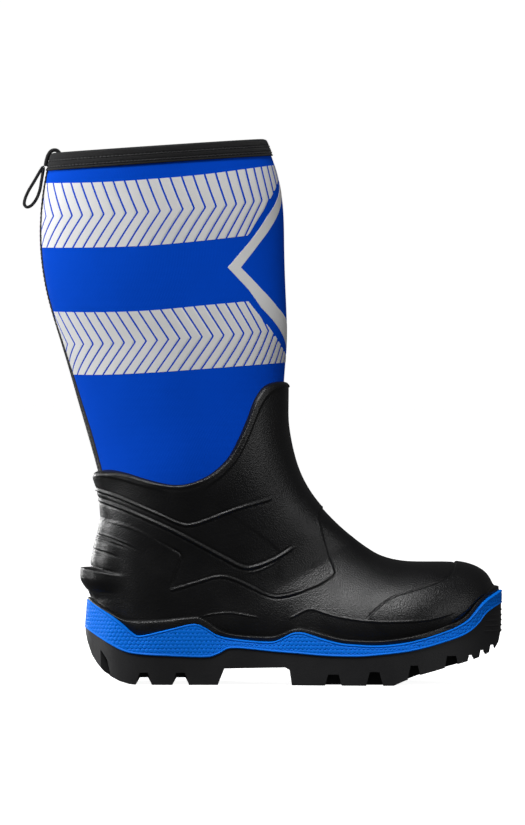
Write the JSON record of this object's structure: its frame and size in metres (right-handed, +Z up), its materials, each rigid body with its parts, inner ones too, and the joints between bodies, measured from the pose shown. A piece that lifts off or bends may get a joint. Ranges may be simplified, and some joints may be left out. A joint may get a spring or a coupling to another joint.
{
  "type": "safety wellington boot",
  "caption": "Tall right work boot with a moulded rubber foot, a lugged sole and a neoprene shaft with reflective chevron bands.",
  "frame": {"origin": "on the ground under the middle of the boot's length and width", "axes": "+X to the toe, +Z up, +Y to the medial side, so the lateral side of this right boot is at -Y"},
  "size_m": [0.3598, 0.111, 0.4096],
  "materials": {
    "outsole": "satin",
    "midsole": "matte",
    "rand": "satin",
    "upper_shell": "satin",
    "steel_plate": "brushed",
    "insole_board": "matte",
    "toe_cap": "satin",
    "toe_cap_cushion": "matte",
    "heel_counter": "matte",
    "foot_lining": "matte",
    "insole": "matte",
    "neoprene_shaft": "matte",
    "inner_lining": "matte",
    "top_binding": "matte",
    "binding_stitching_upper": "satin",
    "binding_stitching_lower": "satin",
    "back_seam_tape": "matte",
    "back_seam_stitching": "satin",
    "reflective_band_upper": "satin",
    "reflective_band_lower": "satin",
    "reflective_diamond": "satin",
    "pull_loop_root": "matte",
    "pull_loop": "matte"
  },
  "bodies": {
    "boot": {"outsole": "outsole", "midsole": "midsole", "rand": "rand", "upper_shell": "upper_shell", "steel_plate": "steel_plate", "insole_board": "insole_board", "toe_cap": "toe_cap", "toe_cap_cushion": "toe_cap_cushion", "heel_counter": "heel_counter", "foot_lining": "foot_lining", "neoprene_shaft": "neoprene_shaft", "inner_lining": "inner_lining", "top_binding": "top_binding", "binding_stitching_upper": "binding_stitching_upper", "binding_stitching_lower": "binding_stitching_lower", "back_seam_tape": "back_seam_tape", "back_seam_stitching": "back_seam_stitching", "reflective_band_upper": "reflective_band_upper", "reflective_band_lower": "reflective_band_lower", "reflective_diamond": "reflective_diamond", "pull_loop_root": "pull_loop_root"},
    "pull_loop": {"pull_loop": "pull_loop"},
    "footbed": {"insole": "insole"}
  },
  "joints": [
    {"name": "pull_loop_swing", "type": "hinge", "parent": "boot", "child": "pull_loop", "pos_m": [-0.16618, 0, 0.3858], "axis": [0, 1, 0], "range_deg": [0, 135]},
    {"name": "insole_lift", "type": "hinge", "parent": "boot", "child": "footbed", "pos_m": [0.16, 0, 0.06], "axis": [0, 1, 0], "range_deg": [0, 4]}
  ]
}
